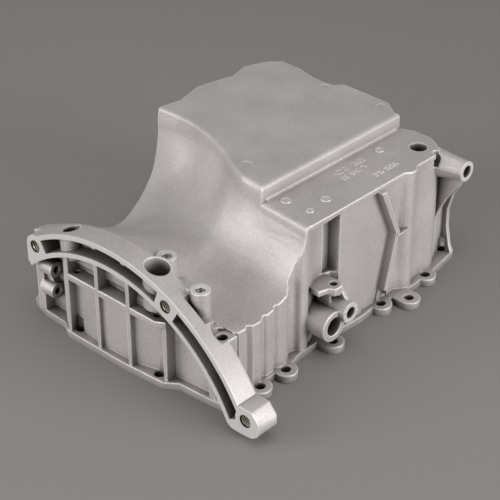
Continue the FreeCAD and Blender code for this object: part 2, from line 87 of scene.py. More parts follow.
# small bores, chamfers and flat ejector marks that only the dressed casting has:
# (axis, centre of the mouth, bore radius, mouth radius, depth, depth of the pointed end)
SMALL_BORES = (
    ("x", (-72.8, 10.8, 50.0), 2.7, 3.6, 11.0, 1.4),
    ("x", (-72.8, 10.8, 30.0), 2.7, 3.6, 11.0, 1.4),
    ("z", (-44.8, 9.0, SHELF_Z), 2.3, 3.0, 4.0, 1.2),
    ("z", (44.8, 9.0, SHELF_Z), 2.3, 3.0, 4.0, 1.2),
    ("z", M8_HOLES[0] + (BOSS_TOP_Z,), M8_BORE_R, 4.5, 1.2, 1.0),
    ("z", M8_HOLES[1] + (BOSS_TOP_Z,), M8_BORE_R, 4.5, 1.2, 1.0),
    ("z", (19.0, 135.0, TOP_Z), 3.9, 4.2, 0.35, 0.0),
    ("z", (-27.0, 284.0, TOP_Z), 3.9, 4.2, 0.35, 0.0),
    ("z", (32.6, 287.0, TOP_Z), 3.9, 4.2, 0.35, 0.0),
)
# six sided cuts: low and high x, low and high y, underside z at its four corners (y first), top z
WEDGES = (
    # upright hollow in the deep right wall
    ((92.9, 112.0), (138.0, 149.0), (60.5, 60.5, 60.5, 60.5), 113.5),
    # slanted top of the block round the left gearbox thread, just over the floor behind it
    ((-95.0, -74.0), (8.0, 29.0), (79.8, 74.34, 88.62, 83.16), 92.0),
)
# the front post's foot, drawn back to the rail's edge: its corner as built and as shown (x, y)
POST_FOOT = ((52.0, 1.6), (52.0, 2.73))
# sides of the drilling tools, and how far they reach over a mouth and past its radius
BORE_SIDES = 28
TOOL_OVER = 1.0
TOOL_PAST = 0.4

# floor and sweep of the pan: x, then (y, z) points of the upper line, as the casting has them
FLOOR_LINES = (
    (-112.0, ((14, 70), (30, 68.5), (44, 63.5), (58, 58.5), (72, 51.5), (86, 42), (99, 35),
              (112, 35), (126, 43), (138, 53.5), (148, 69), (153.3, 88), (155.4, 108), (156.2, 134))),
    (-82.0, ((14, 83), (28, 79), (42, 72.5), (56, 65), (69, 58), (82, 52.5), (95, 50),
             (108, 50.5), (121, 56), (133, 65), (144, 78), (151.3, 95), (156, 113), (158, 134))),
    (-60.0, ((14, 92), (27, 88), (40, 80.5), (53, 73.5), (66, 68), (79, 64), (92, 62.5),
             (105, 63), (117, 66.5), (129, 73.5), (141, 85), (149.5, 99), (154.3, 115), (156, 134))),
    (-35.0, ((14, 98.5), (26, 95), (38, 88.5), (50, 81.5), (62, 75.5), (74, 71.5), (86, 69.8),
             (98, 70.5), (110, 74), (122, 81), (133.5, 92), (142, 105.5), (147, 119), (149.3, 134))),
    (-10.0, ((14, 102), (26, 99.5), (38, 94), (50, 87.5), (62, 82), (74, 78), (85, 76),
             (96, 76.8), (106.5, 80.3), (117, 87.5), (126.5, 98), (132.7, 109), (136.7, 120), (138.6, 134))),
    (15.0, ((14, 100), (26, 97), (37, 91), (48, 84.5), (59, 79), (69, 76), (79, 75),
            (88.5, 76), (97.5, 80), (106, 87.5), (113, 97), (118.5, 107.5), (122.3, 119), (124.8, 134))),
    (30.0, ((14, 95), (24, 90), (34, 83.5), (44, 77), (54, 72.5), (64, 70), (74, 69.4),
            (83, 71), (92, 75.5), (100, 82), (107, 91.5), (112.5, 102.5), (116.3, 115), (118.6, 134))),
    (54.0, ((14, 80), (24, 75), (34, 70.2), (44, 67), (54, 66), (64, 65.8), (73, 66.3),
            (82, 68.2), (90, 72), (97, 78), (103.5, 86.3), (109, 97), (113.1, 110), (115.4, 134))),
    (112.0, ((14, 62), (24, 62), (34, 62.5), (44, 63), (53, 62.6), (62, 63.1), (70.5, 64.4),
             (78.5, 66.6), (86, 70), (92.5, 75.5), (98.5, 84), (103.7, 95), (107.2, 108), (109.4, 134))),
)
# the step between the deep part and the ledge, the tops of both, the rounding of their edges, and how far
# under it a line's points end
STEP_X = 54.0
TOPS = (TOP_Z, LEDGE_Z)
EDGE_R = 3.5
EDGE_DEG = (31.5, 60.0, 90.0)
EDGE_CLEAR = 3

# cuts that refine the floor: direction, first and last place
FLOOR_CUTS = (((1, 0, 0), -108, 108), ((0, 1, 0), 16, 158), ((0, 0, 1), 74, 126))
# a face is the floor's if its middle lies within these limits and it looks up or to the front and not aside
# (z, y and x of its normal), and well up where it is in front of the arch's back
FLOOR_X = (-108, 109)
FLOOR_Y = (13, 160)
FLOOR_LOW_Z = 30
ARCH_BACK_Y = 22.4
LOOKS_UP = 0.05
LOOKS_FRONT = -0.2
LOOKS_ASIDE = 0.75
LOOKS_WELL_UP = 0.3
# limits of the points that may lie on the floor, and how near to a facet they lie
POINTS_Y = (13.0, 165.0)
POINTS_LOW_Z = 25.0
ON_FACET = 0.03
# upright share of a facet's normal: above GENTLE_UP a point moves upright only, and from UP_BLEND below it
# square to the facet; LEAST_UP limits how far an upright move is stretched
GENTLE_UP = 0.8
UP_BLEND = 0.3
LEAST_UP = 0.3
# least step and least squared length that are divided by, and least distance past the step's plane
LEAST_STEP = 1e-6
LEAST_SQUARE = 1e-9
STEP_PAST = 1e-4
# distances in metres within which corners are joined and slivers dissolved
WELD = 0.00001
SLIVER = 0.00002
# angles in degrees past which an edge shows sharp, on the casting and on added pieces
SKIN_SHARP = 44
PIECE_SHARP = 40

# small web from the knee of the bent rib to the column beside it: plan corners (x, y), underside and top z
KNEE_WEB = ((110.5, 217.5), (109.4, 234.2), (102.0, 224.0))
KNEE_WEB_Z = (64.8, 66.4)

# how far raised marks sink into the face that carries them
MARK_FOOT = 0.4
# raised round marks of the die's ejectors on the ledge: centre x, y and radius
ROUND_MARKS = ((65.0, 130.0, 4.6), (86.0, 153.0, 4.6), (88.7, 131.0, 3.6), (66.0, 244.0, 4.2))
# a mark's ring, measured inward from its radius: outer and inner end of its flat top, and its inner foot;
# then the height of the disc inside it and the number of sides
MARK_RING = (0.3, 1.0, 1.3)
MARK_INSIDE = 0.1
MARK_SIDES = 36
# rows of plain numbers on the ledge: middle x, y, height of the figures and the figures themselves
NUMBER_ROWS = (
    (66.0, 205.0, 5.2, "4072 1358"), (75.0, 200.0, 4.6, "26 940 7"), (90.0, 222.0, 4.6, "315 8206"),
)
# a figure as shares of its height: its width, the step to the next, half the width of its level bars and of
# its upright ones
FIGURE_WIDE = 0.52
FIGURE_STEP = 0.8
LEVEL_HALF = 0.09
UPRIGHT_HALF = 0.083
# a bar's height, and where its flat top ends as a share of its half length and half width
BAR_RISE = 0.35
BAR_TOP = (0.86, 0.6)
# which of its seven bars each figure has: top, upper left and right, middle, lower left and right, bottom
FIGURE_BARS = {
    "0": "1110111", "1": "0010010", "2": "1011101", "3": "1011011", "4": "0111010",
    "5": "1101011", "6": "1101111", "7": "1010010", "8": "1111111", "9": "1111011",
}

# studio: half the paper's side in millimetres
PAPER_HALF = 6000.0
# lamps in metres: name, place, side, share of the key power, and the point that they all look at
LAMPS = (
    ("key_front_left", (-0.95, -1.45, 0.75), 1.1, 0.66),
    ("key_right", (1.8, 0.5, 0.38), 1.2, 1.35),
    ("fill_front_low", (0.3, -1.7, 0.3), 0.9, 0.62),
    ("soft_top", (0.2, 0.0, 1.9), 1.2, 0.3),
)
LAMP_AIM = (0, 0.15, 0.05)
# camera: place, the point it looks at and nearest distance in metres, and width of its sensor in millimetres
CAMERA_AT = (0.7274, -0.6261, 0.6956)
CAMERA_AIM = (-0.0348, 0.197, 0.0)
CAMERA_NEAREST = 0.01
SENSOR_WIDE = 36.0


def linear(text):
    """A written sRGB hex colour as linear red, green, blue and full alpha."""
    parts = [int(text[i:i + 2], 16) / 255 for i in (1, 3, 5)]
    return [c / 12.92 if c <= 0.04045 else ((c + 0.055) / 1.055) ** 2.4 for c in parts] + [1.0]


def opaque(colour):
    """A colour property as red, green, blue and full alpha."""
    return list(colour)[:3] + [1.0]


def node(tree, kind, sets=(), links=()):
    """One shader node: sets are (name, value) of sockets or of the node, links are (socket, source)."""
    made = tree.nodes.new(kind)
    for name, value in sets:
        if isinstance(name, int) or name in made.inputs.keys():
            made.inputs[name].default_value = value
        else:
            setattr(made, name, value)
    for name, source in links:
        tree.links.new(source, made.inputs[name])
    return made


def new_material(name):
    """A material of that name with an empty tree, its shader and its output."""
    mat = bpy.data.materials.new(name)
    mat.use_nodes = True
    tree = mat.node_tree
    tree.nodes.clear()
    shader = node(tree, "ShaderNodeBsdfPrincipled")
    node(tree, "ShaderNodeOutputMaterial", links=((0, shader.outputs[0]),))
    return mat, tree, shader


def ramp(tree, source, stops):
    """A colour ramp through (place, linear colour) stops."""
    made = node(tree, "ShaderNodeValToRGB", links=((0, source),))
    band = made.color_ramp
    while len(band.elements) < len(stops):
        band.elements.new(0.5)
    for element, (place, colour) in zip(band.elements, stops):
        element.position = place
        element.color = colour
    return made.outputs[0]


def cast_aluminium(props):
    """High pressure die cast aluminium alloy, shot blasted as cast.

    It gives the eye an even satin grey with a fine grain and faint flow clouds. Its rounded edges carry a
    painted highlight, and its corners and pockets a darker, browner painted shade from ambient occlusion. The
    clouds are about
    45 mm across. The grain is 0.3 mm, drawn at about 1 mm so that the picture can show it.
    """
    mat, tree, shader = new_material("cast_aluminium_shot_blasted")
    place = node(tree, "ShaderNodeTexCoord").outputs["Object"]
    clouds = node(tree, "ShaderNodeTexNoise", (("Scale", 22.0), ("Detail", 5.0), ("Roughness", 0.62)),
                  (("Vector", place),))
    grain = node(tree, "ShaderNodeTexNoise",
                 (("Scale", 1.0 / props.grain), ("Detail", 2.0), ("Roughness", 0.65)), (("Vector", place),))
    skin = ramp(tree, clouds.outputs["Fac"],
                ((0.34, opaque(props.cast_dark)), (0.66, opaque(props.cast_light))))
    speck = ramp(tree, grain.outputs["Fac"], ((0.32, linear("#c9c5c3")), (0.68, linear("#ffffff"))))
    tone = node(tree, "ShaderNodeMix", (("data_type", "RGBA"), ("blend_type", "MULTIPLY"), (0, 0.55)),
                ((6, skin), (7, speck)))
    # painted shade: ambient occlusion darkens corners and pockets toward a dark brown, standing in for the
    # shade in them
    shade = node(tree, "ShaderNodeAmbientOcclusion", (("samples", 8), ("Distance", props.painted_shade_reach)))
    painted_shade_tint = ramp(tree, shade.outputs["AO"], ((0.14, opaque(props.painted_shade)), (0.76, linear("#ffffff"))))
    final = node(tree, "ShaderNodeMix", (("data_type", "RGBA"), ("blend_type", "MULTIPLY"), (0, 1.0)),
                 ((6, tone.outputs[2]), (7, painted_shade_tint)))
    rounded = node(tree, "ShaderNodeBevel", (("samples", 8), ("Radius", props.cast_edge)))
    flat = node(tree, "ShaderNodeNewGeometry").outputs["Normal"]
    turn = node(tree, "ShaderNodeVectorMath", (("operation", "DOT_PRODUCT"),),
                ((0, rounded.outputs[0]), (1, flat)))
    # painted highlight: where the rounded normal turns away from the flat one, open convex edges are
    # lightened toward the rim colour
    rim = ramp(tree, turn.outputs["Value"], ((0.88, linear("#ffffff")), (0.99, linear("#000000"))))
    proud = ramp(tree, shade.outputs["AO"], ((0.6, linear("#000000")), (0.85, linear("#ffffff"))))
    painted_edge_highlight = node(tree, "ShaderNodeMath", (("operation", "MULTIPLY"),), ((0, rim), (1, proud)))
    edged = node(tree, "ShaderNodeMix", (("data_type", "RGBA"), (7, opaque(props.rim))),
                 ((0, painted_edge_highlight.outputs[0]), (6, final.outputs[2])))
    bump = node(tree, "ShaderNodeBump", (("Strength", 0.2), ("Distance", 0.0004)),
                (("Height", grain.outputs["Fac"]), ("Normal", rounded.outputs[0])))
    tree.links.new(edged.outputs[2], shader.inputs["Base Color"])
    tree.links.new(bump.outputs[0], shader.inputs["Normal"])
    shader.inputs["Metallic"].default_value = 0.55
    shader.inputs["Roughness"].default_value = 0.56
    return mat


def raised_mark_aluminium(props):
    """The same casting on raised figures and the rims of marks: a plain, slightly lighter grey, a little
    smoother, without grain, clouds or painted shade.
    """
    mat, _, shader = new_material("cast_aluminium_raised_marks")
    shader.inputs["Base Color"].default_value = opaque(props.raised_mark_grey)
    shader.inputs["Metallic"].default_value = 0.55
    shader.inputs["Roughness"].default_value = 0.48
    return mat


def milled_aluminium(props):
    """Aluminium cut by a face mill: bright, nearly white, with fine arcs left by the cutter.

    The arcs are about 0.3 mm apart, drawn at about 1.2 mm so that the picture can show them.
    """
    mat, tree, shader = new_material("milled_aluminium_face")
    place = node(tree, "ShaderNodeTexCoord").outputs["Object"]
    cutter = node(tree, "ShaderNodeTexWave",
                  (("wave_type", "RINGS"), ("rings_direction", "Y"), ("Scale", 260.0), ("Distortion", 0.6)),
                  (("Vector", place),))
    tint = ramp(tree, cutter.outputs["Fac"], ((0.0, opaque(props.cut_dark)), (1.0, opaque(props.cut_light))))
    tree.links.new(tint, shader.inputs["Base Color"])
    shader.inputs["Metallic"].default_value = 0.3
    shader.inputs["Roughness"].default_value = 0.38
    return mat


def drilled_aluminium(props):
    """Drilled and tapped aluminium: bare cut metal in a deep hole, warm, with bright thread crests.

    The tap's chatter marks are finer than 0.5 mm, drawn at about 1 mm so that the picture can show them.
    """
    mat, tree, shader = new_material("tapped_aluminium_thread")
    place = node(tree, "ShaderNodeTexCoord").outputs["Object"]
    chatter = node(tree, "ShaderNodeTexNoise", (("Scale", 900.0), ("Detail", 1.0)), (("Vector", place),))
    tint = ramp(tree, chatter.outputs["Fac"], ((0.3, linear("#b9ab9a")), (0.7, opaque(props.thread))))
    tree.links.new(tint, shader.inputs["Base Color"])
    shader.inputs["Metallic"].default_value = 0.9
    shader.inputs["Roughness"].default_value = 0.28
    return mat


def painted_groove_shade(props):
    """The bottom of a cut thread: the same metal, coloured dark brown as painted shade for the shadow down in
    the groove.
    """
    mat, _, shader = new_material("tapped_aluminium_groove_painted_shade")
    shader.inputs["Base Color"].default_value = opaque(props.groove_shade)
    shader.inputs["Metallic"].default_value = 0.6
    shader.inputs["Roughness"].default_value = 0.5
    return mat


def place_mesh(name, points, faces, mats):
    """A mesh object at the origin from arrays of points in millimetres and of faces."""
    mesh = bpy.data.meshes.new(name)
    mesh.from_pydata((points * MM).tolist(), [], faces.tolist())
    for mat in mats:
        mesh.materials.append(mat)
    made = bpy.data.objects.new(name, mesh)
    bpy.context.scene.collection.objects.link(made)
    return made


def grid_faces(rows, columns, wrap_rows, wrap_columns):
    """Four cornered faces of a grid of points, joined round at the ends where it wraps."""
    r = np.arange(rows if wrap_rows else rows - 1)
    c = np.arange(columns if wrap_columns else columns - 1)
    i, j = [a.ravel() for a in np.meshgrid(r, c, indexing="ij")]
    k = (i + 1) % rows
    m = (j + 1) % columns
    return np.stack([i * columns + j, i * columns + m, k * columns + m, k * columns + j], 1)


def own_piece(name, points, faces, mats, smooth=True):
    """A finished piece on the pan's body, with the materials given."""
    made = place_mesh(name, points, faces, mats)
    mesh = made.data
    bm = bmesh.new()
    bm.from_mesh(mesh)
    bmesh.ops.recalc_face_normals(bm, faces=bm.faces)
    bm.to_mesh(mesh)
    bm.free()
    mesh.polygons.foreach_set("use_smooth", np.full(len(mesh.polygons), smooth))
    if smooth:
        mesh.set_sharp_from_angle(angle=math.radians(PIECE_SHARP))
    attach(made, BODY)
    return made


def turned(profile, sides, axis, centre):
    """A closed turned shape from profile rows (radius, distance along the axis), its ends on the axis.

    A point is centre + distance * axis + radius * (cos, sin) across it, the angle going once round.
    """
    profile = np.array(profile, float)
    angle = np.arange(sides) * 2 * math.pi / sides
    ring = np.stack([np.cos(angle), np.sin(angle)], 1)
    body = profile[1:-1]
    across = body[:, None, 0, None] * ring[None, :, :]
    along = np.repeat(body[:, 1], sides)
    flat = across.reshape(-1, 2)
    order = {"x": (along, flat[:, 0], flat[:, 1]), "z": (flat[:, 0], flat[:, 1], along)}[axis]
    tips = np.zeros((2, 3))
    tips[:, "xyz".index(axis)] = profile[[0, -1], 1]
    points = np.vstack([np.stack(order, 1), tips]) + np.array(centre)
    faces = grid_faces(len(body), sides, False, True)
    first = np.arange(sides)
    last = (len(body) - 1) * sides + first
    low = np.full(sides, len(points) - 2)
    high = np.full(sides, len(points) - 1)
    caps = np.vstack([
        np.stack([first, np.roll(first, -1), low], 1),
        np.stack([np.roll(last, -1), last, high], 1),
    ])
    return points, faces, caps


def joined(shapes):
    """One list of points and one of faces from several shapes of (points, quads, triangles)."""
    points = []
    faces = []
    count = 0
    for pts, quads, tris in shapes:
        points.append(pts)
        faces += (quads + count).tolist() + (tris + count).tolist()
        count += len(pts)
    return np.vstack(points), faces


def joined_piece(name, shapes, mats, smooth=True):
    """One piece from several closed shapes."""
    points, faces = joined(shapes)
    return own_piece(name, points, np.array(faces, dtype=object), mats, smooth)


def thread_sleeve(bore, depth_of_cut, pitch, length, sides, steps):
    """A thread cut in a bore, as a closed sleeve about the axis u, v with its mouth at w = 0 and w inward.

    The inner radius is the bore less the cut times a triangle wave of w / pitch - angle / turn, so that the
    crest climbs one pitch a turn. The cut fades out over one pitch at both ends. The outer radius is a little
    more than the bore's. Rows go in along the thread and back along the outside.
    """
    rows = int(length / pitch * steps)
    w = np.linspace(0.0, length, rows)
    angle = np.arange(sides) * 2 * math.pi / sides
    phase = w[:, None] / pitch - angle[None, :] / (2 * math.pi)
    wave = 1 - np.abs(2 * (phase % 1.0) - 1)
    fade = np.clip(np.minimum(w, length - w) / pitch, 0.0, 1.0)[:, None]
    inner = bore - SLEEVE_PROUD - depth_of_cut * wave * fade
    outer = np.full((2, sides), bore + SLEEVE_SUNK)
    radius = np.vstack([inner, outer])
    depth = np.concatenate([w, [length, 0.0]])
    u = radius * np.cos(angle)
    v = radius * np.sin(angle)
    points = np.stack([u, v, np.repeat(depth[:, None], sides, 1)], 2).reshape(-1, 3)
    return points, grid_faces(rows + 2, sides, True, True)


def bar_ridge(x0, y0, x1, y1, half, rise, ground):
    """A raised bar from one point to another: a low ridge with a flat top and sloping sides and ends.

    With s along the bar and t across it, both from -1 to 1, the height is the lesser of two profiles: each is
    the whole rise as far as BAR_TOP and falls in a straight slope to nothing at 1. The bar reaches MARK_FOOT
    under the ground, where it is closed.
    """
    length = math.hypot(x1 - x0, y1 - y0)
    ux, uy = (x1 - x0) / length, (y1 - y0) / length
    flat_s, flat_t = BAR_TOP
    s = np.array([-1.0, -1.0, -flat_s, flat_s, 1.0, 1.0])
    t = np.array([-1.0, -1.0, -flat_t, flat_t, 1.0, 1.0])
    lift = np.array([-MARK_FOOT, 0.0, rise, rise, 0.0, -MARK_FOOT])
    a, b = np.meshgrid(s, t, indexing="ij")
    height = np.minimum(*np.meshgrid(lift, lift, indexing="ij"))
    along = (a + 1) / 2 * (length + 2 * half) - half
    across = b * half
    x = x0 + along * ux - across * uy
    y = y0 + along * uy + across * ux
    top = np.stack([x, y, ground + height], 2).reshape(-1, 3)
    faces = grid_faces(len(s), len(t), False, False)
    size = len(t)
    rim = np.concatenate([np.arange(size - 1), np.arange(size - 1, size * size - 1, size),
                          np.arange(size * size - 1, size * size - size, -1),
                          np.arange(size * size - size, 0, -size)])
    middle = np.array([[(x0 + x1) / 2, (y0 + y1) / 2, ground - MARK_FOOT]])
    tris = np.stack([np.roll(rim, -1), rim, np.full(len(rim), len(top))], 1)
    return np.vstack([top, middle]), faces, tris


def number_row(x, y, size, text):
    """Bars of a row of figures that reads along y, its foot toward +x, centred on x and y."""
    wide = FIGURE_WIDE * size
    pitch = FIGURE_STEP * size
    rows = (0.0, -0.5 * size, -size)
    shapes = []
    for place, figure in enumerate(text):
        if figure not in FIGURE_BARS:
            continue
        left = y + (place - (len(text) - 1) / 2) * pitch - wide / 2
        right = left + wide
        foot = x + size / 2
        ends = (
            (rows[2], left, rows[2], right), (rows[2], left, rows[1], left), (rows[2], right, rows[1], right),
            (rows[1], left, rows[1], right), (rows[1], left, rows[0], left), (rows[1], right, rows[0], right),
            (rows[0], left, rows[0], right),
        )
        for on, (ax, ay, bx, by) in zip(FIGURE_BARS[figure], ends):
            if on == "1":
                half = (LEVEL_HALF if ax == bx else UPRIGHT_HALF) * size
                shapes.append(bar_ridge(foot + ax, ay, foot + bx, by, half, BAR_RISE, LEDGE_Z))
    return shapes


def line_points(run, top, count):
    """The casting's upper line (y, z): its first points, then the edge and its rounding."""
    rim = top - EDGE_R
    last = run[count - 1]
    after = run[count]
    share = (rim - last[1]) / (after[1] - last[1])
    edge_y = last[0] + share * (after[0] - last[0])
    pts = list(run[:count]) + [(edge_y, rim)]
    for deg in EDGE_DEG:
        turn = math.radians(deg)
        pts.append((edge_y + EDGE_R * (1 - math.cos(turn)), rim + EDGE_R * math.sin(turn)))
    return np.array(pts, float)


def slopes(knots, values):
    """Slopes of a smooth curve through the values: both chords' mean, each weighted by the other's length."""
    step = np.diff(knots, axis=0)
    chord = np.diff(values, axis=0) / np.maximum(step, LEAST_STEP)
    first = chord[:1]
    last = chord[-1:]
    inner = (chord[:-1] * step[1:] + chord[1:] * step[:-1]) / (step[:-1] + step[1:])
    return np.concatenate([first, inner, last])


def middle_slope(before, here, after, gap_a, gap_b):
    """Slope at the middle one of three points, from the gaps before and after it, weighted as in slopes."""
    return ((here - before) / gap_a * gap_b + (after - here) / gap_b * gap_a) / (gap_a + gap_b)


def hermite(a, b, slope_a, slope_b, gap, t):
    """Cubic from a to b with given end slopes, at the share t of the gap between their knots."""
    t2 = t * t
    t3 = t2 * t
    return ((2 * t3 - 3 * t2 + 1) * a + (t3 - 2 * t2 + t) * gap * slope_a
            + (3 * t2 - 2 * t3) * b + (t3 - t2) * gap * slope_b)


def smooth_floor(points):
    """Moves points that lie on the flat facets of the floor and sweep onto the smooth surface through them.

    The surface passes through every line of FLOOR_LINES: across the pan each numbered point of the lines runs
    on a cubic over x, and along the pan a cubic over distance joins those points. A point on a facet knows
    its share between two lines and two rows, and takes the same shares on the smooth surface. It moves
    upright where the floor is gentle and square to the surface where the sweep is steep.
    """
    moved = points.copy()
    xs = np.array([row[0] for row in FLOOR_LINES])
    for side, top in enumerate(TOPS):
        chosen = [k for k in range(len(xs)) if (xs[k] <= STEP_X if side == 0 else xs[k] >= STEP_X)]
        limit = top - 2 * EDGE_R - EDGE_CLEAR
        count = min(sum(1 for p in FLOOR_LINES[k][1] if p[1] < limit) for k in chosen)
        lines = np.stack([line_points(FLOOR_LINES[k][1], top, count) for k in chosen])
        low, high = xs[chosen[0]], xs[chosen[-1]]
        inside = (points[:, 0] >= low) & (points[:, 0] <= high)
        if side == 1:
            inside &= points[:, 0] > low + STEP_PAST
        inside &= (points[:, 1] > POINTS_Y[0]) & (points[:, 1] < POINTS_Y[1]) & (points[:, 2] > POINTS_LOW_Z)
        near = np.nonzero(inside)[0]
        knots = xs[chosen][:, None, None]
        bend = slopes(np.broadcast_to(knots, lines.shape), lines)
        if side == 1:
            before = np.array(FLOOR_LINES[chosen[0] - 1][1], float)[:count]
            here, after = lines[0, :count], lines[1, :count]
            gap_a, gap_b = low - xs[chosen[0] - 1], high - low
            bend[0, :count] = middle_slope(before, here, after, gap_a, gap_b)
        elif len(chosen) < len(xs):
            after = np.array(FLOOR_LINES[chosen[-1] + 1][1], float)[:count]
            here, before = lines[-1, :count], lines[-2, :count]
            gap_a, gap_b = high - xs[chosen[-2]], xs[chosen[-1] + 1] - high
            bend[-1, :count] = middle_slope(before, here, after, gap_a, gap_b)
        x = points[near, 0]
        strip = np.clip(np.searchsorted(xs[chosen], x) - 1, 0, len(chosen) - 2)
        x0, x1 = xs[chosen][strip], xs[chosen][strip + 1]
        t = (x - x0) / (x1 - x0)
        left, right = lines[strip], lines[strip + 1]
        share = t[:, None, None]
        straight = left + (right - left) * share
        cross = left[:, :-1] + (right[:, 1:] - left[:, :-1]) * share
        total = lines.shape[1]
        path = np.empty((len(near), 2 * total - 1, 2))
        path[:, 0::2] = straight
        path[:, 1::2] = cross
        level = np.empty((len(near), 2 * total - 1))
        level[:, 0::2] = np.arange(total)
        level[:, 1::2] = np.arange(total - 1) + t[:, None]
        at = points[near][:, None, 1:]
        a, b = path[:, :-1], path[:, 1:]
        run = b - a
        size = np.maximum((run ** 2).sum(2), LEAST_SQUARE)
        where = np.clip(((at - a) * run).sum(2) / size, 0, 1)
        gap = np.hypot(*np.moveaxis(at - a - run * where[..., None], 2, 0))
        best = gap.argmin(1)
        pick = np.arange(len(near))
        on = gap[pick, best] < ON_FACET
        value = level[pick, best] + where[pick, best] * (level[pick, best + 1] - level[pick, best])
        normal = np.stack([-run[pick, best, 1], run[pick, best, 0]], 1)
        normal /= np.linalg.norm(normal, axis=1)[:, None]
        curve = hermite(left, right, bend[strip], bend[strip + 1], (x1 - x0)[:, None, None], share)
        chord = np.sqrt((np.diff(curve, axis=1) ** 2).sum(2))
        mark = np.concatenate([np.zeros((len(near), 1)), np.cumsum(chord, 1)], 1)
        marks = np.moveaxis(np.repeat(mark[..., None], 2, 2), 1, 0)
        tilt = np.moveaxis(slopes(marks, np.moveaxis(curve, 1, 0)), 0, 1)
        i = np.clip(np.floor(value).astype(int), 0, total - 2)
        f = (value - i)[:, None]
        goal = hermite(curve[pick, i], curve[pick, i + 1], tilt[pick, i], tilt[pick, i + 1],
                       (mark[pick, i + 1] - mark[pick, i])[:, None], f)
        shift = ((goal - points[near, 1:]) * normal).sum(1)
        steep = np.clip((GENTLE_UP - normal[:, 1]) / UP_BLEND, 0, 1)
        dy = steep * shift * normal[:, 0]
        dz = steep * shift * normal[:, 1] + (1 - steep) * shift / np.maximum(normal[:, 1], LEAST_UP)
        keep = on & (i < count)
        use = near[keep]
        moved[use, 1] = points[use, 1] + dy[keep]
        moved[use, 2] = points[use, 2] + dz[keep]
    return moved


def on_floor(bm):
    """Faces of the merged casting that lie on the facets of floor and sweep."""
    found = []
    for face in bm.faces:
        middle = face.calc_center_median() / MM
        up = face.normal
        inside = (FLOOR_X[0] < middle.x < FLOOR_X[1] and FLOOR_Y[0] < middle.y < FLOOR_Y[1]
                  and middle.z > FLOOR_LOW_Z)
        faces_it = (up.z > LOOKS_UP or up.y < LOOKS_FRONT) and abs(up.x) < LOOKS_ASIDE
        if inside and faces_it and (middle.y > ARCH_BACK_Y or up.z > LOOKS_WELL_UP):
            found.append(face)
    return found


def welded_copy(source, name):
    """A copy of the frame's mesh, its triangles joined at shared corners and the post's foot drawn back."""
    made = bpy.data.objects.new(name, source.data.copy())
    bpy.context.scene.collection.objects.link(made)
    mesh = made.data
    for attribute in ("custom_normal", "sharp_edge", "sharp_face"):
        if mesh.attributes.get(attribute):
            mesh.attributes.remove(mesh.attributes[attribute])
    points = np.zeros(len(mesh.vertices) * 3)
    mesh.vertices.foreach_get("co", points)
    points = points.reshape(-1, 3)
    (x, y), shown = POST_FOOT
    foot = np.hypot(points[:, 0] / MM - x, points[:, 1] / MM - y) < NEAR
    foot &= points[:, 2] < OVER_RAIL_Z * MM
    points[foot, :2] = np.array(shown) * MM
    mesh.vertices.foreach_set("co", points.ravel())
    bm = bmesh.new()
    bm.from_mesh(mesh)
    bmesh.ops.remove_doubles(bm, verts=bm.verts, dist=WELD)
    bm.to_mesh(mesh)
    bm.free()
    return made


def cut_small_bores(made):
    """Drills and chamfers the small bores and cuts the wedges, with a boolean that is then applied."""
    shapes = []
    for axis, centre, bore, mouth, deep, tip in SMALL_BORES:
        flare = min(mouth - bore, deep)
        rows = ((0, TOOL_OVER), (mouth + TOOL_PAST, TOOL_OVER), (mouth, 0.0), (bore, -flare))
        rows += ((bore, -deep),) if deep > flare else ()
        shapes.append(turned(rows + ((0, -deep - tip),), BORE_SIDES, axis, centre))
    sides = np.array([(0, 1, 3, 2), (4, 6, 7, 5), (0, 4, 5, 1), (2, 3, 7, 6), (0, 2, 6, 4), (1, 5, 7, 3)])
    for xs, ys, floor, top in WEDGES:
        feet = zip([(x, y) for x in xs for y in ys], floor)
        corners = np.array([(x, y, z) for (x, y), low in feet for z in (low, top)])
        shapes.append((corners, sides, np.zeros((0, 3), int)))
    points, faces = joined(shapes)
    tool = place_mesh("bore_tool", points, np.array(faces, dtype=object), ())
    bm = bmesh.new()
    bm.from_mesh(tool.data)
    bmesh.ops.recalc_face_normals(bm, faces=bm.faces)
    bm.to_mesh(tool.data)
    bm.free()
    cut = made.modifiers.new("small_bores", "BOOLEAN")
    cut.object = tool
    cut.operation = "DIFFERENCE"
    cut.solver = "EXACT"
    depsgraph = bpy.context.evaluated_depsgraph_get()
    drilled = bpy.data.meshes.new_from_object(made.evaluated_get(depsgraph))
    if len(drilled.polygons) < len(made.data.polygons):
        raise RuntimeError("the small bores could not be drilled")
    made.modifiers.clear()
    made.data = drilled
    bpy.data.objects.remove(tool)


def refine_floor(made, pitch):
    """Divides the floor's long facets into a fine grid by upright and level cuts, then smooths them."""
    bm = bmesh.new()
    bm.from_mesh(made.data)
    for axis, low, high in FLOOR_CUTS:
        for at in np.arange(low, high, pitch):
            faces = on_floor(bm)
            edges = {e for f in faces for e in f.edges}
            verts = {v for e in edges for v in e.verts}
            bmesh.ops.bisect_plane(bm, geom=faces + list(edges) + list(verts), dist=WELD,
                                   plane_co=Vector(axis) * at * MM, plane_no=axis)
    bmesh.ops.dissolve_degenerate(bm, dist=SLIVER, edges=bm.edges)
    bmesh.ops.triangulate(bm, faces=bm.faces)
    bm.to_mesh(made.data)
    bm.free()
    mesh = made.data
    points = np.zeros(len(mesh.vertices) * 3)
    mesh.vertices.foreach_get("co", points)
    points = smooth_floor(points.reshape(-1, 3) / MM)
    mesh.vertices.foreach_set("co", (points * MM).ravel())
    mesh.update()


def face_arrays(mesh):
    """Centres and normals of all faces as arrays, in millimetres and unit length."""
    count = len(mesh.polygons)
    centre = np.zeros(count * 3)
    normal = np.zeros(count * 3)
    mesh.polygons.foreach_get("center", centre)
    mesh.polygons.foreach_get("normal", normal)
    return centre.reshape(-1, 3) / MM, normal.reshape(-1, 3)


